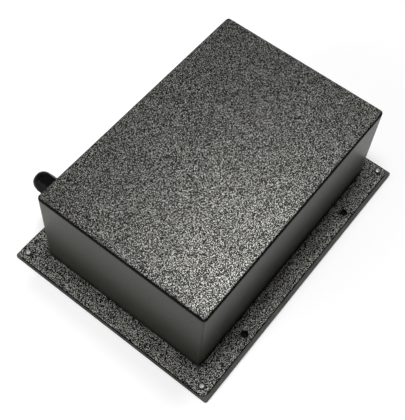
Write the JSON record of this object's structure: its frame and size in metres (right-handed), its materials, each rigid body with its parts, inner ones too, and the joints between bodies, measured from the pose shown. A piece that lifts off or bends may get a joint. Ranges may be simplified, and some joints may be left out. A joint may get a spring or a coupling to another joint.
{
  "type": "battery box",
  "caption": "Flanged sheet-steel battery box of a barrier gate with a lift-off cover, cable gland, lead-acid batteries in series, clamp, fuse and terminal block.",
  "frame": {"origin": "centre of the four mounting holes, on the back plate's underside", "axes": "+X along the long side of the box, +Y towards the wall with the cable gland, +Z out of the flange towards the top of the cover"},
  "size_m": [0.27, 0.2037, 0.0895],
  "materials": {
    "hammertone": "dark grey hammertone powder coat",
    "black_coat": "smooth satin black powder coat",
    "zinc_steel": "bright zinc plating",
    "black_nylon": "moulded black nylon",
    "black_rubber": "soft black rubber",
    "foam": "closed-cell foam",
    "battery_case": "grained dark grey ABS",
    "battery_lid": "smooth black ABS",
    "tinned_brass": "tinned brass strip",
    "brass": "turned brass",
    "ivory_plastic": "ivory polyamide",
    "fuse_amber": "clear amber plastic",
    "holder_black": "black moulded plastic",
    "red_lead": "red PVC insulation",
    "black_lead": "black PVC insulation",
    "blue_lead": "blue PVC insulation",
    "boot_vinyl": "translucent vinyl"
  },
  "bodies": {
    "base": {"back_plate": "black_coat", "battery_stop": "zinc_steel", "hold_down_studs": "zinc_steel", "hold_down_plate": "zinc_steel", "hold_down_washers": "zinc_steel", "hold_down_nuts": "zinc_steel", "terminal_screws": "zinc_steel", "block_fixing_screw": "zinc_steel", "hold_down_rubber": "black_rubber", "base_pads": "foam", "battery_a_case": "battery_case", "battery_b_case": "battery_case", "battery_a_lid": "battery_lid", "battery_a_vent_cover": "battery_lid", "battery_b_lid": "battery_lid", "battery_b_vent_cover": "battery_lid", "battery_a_terminals": "tinned_brass", "battery_b_terminals": "tinned_brass", "receptacle_clips": "tinned_brass", "terminal_barrels": "brass", "terminal_block": "ivory_plastic", "blade_fuse": "fuse_amber", "fuse_holder": "holder_black", "fuse_cap": "holder_black", "positive_lead": "red_lead", "fused_lead": "red_lead", "negative_lead": "black_lead", "link_lead": "blue_lead", "receptacle_boots": "boot_vinyl"},
    "cover": {"housing_pan": "hammertone", "flange_frame": "hammertone", "foot_weld": "black_coat", "corner_screws": "zinc_steel", "gland_body": "black_nylon", "gland_washer": "black_rubber", "gland_locknut": "black_nylon", "gland_seal": "black_rubber"},
    "gland_cap": {"gland_nut": "black_nylon"}
  },
  "joints": [
    {"name": "cover_lift", "type": "slide", "parent": "base", "child": "cover", "axis": [0, 0, 1], "range_m": [0, 0.1]},
    {"name": "gland_nut_turn", "type": "hinge", "parent": "cover", "child": "gland_cap", "pos_m": [-0.0925, 0.095, 0.0639], "axis": [0, 1, 0], "range_deg": [0, 360]}
  ]
}
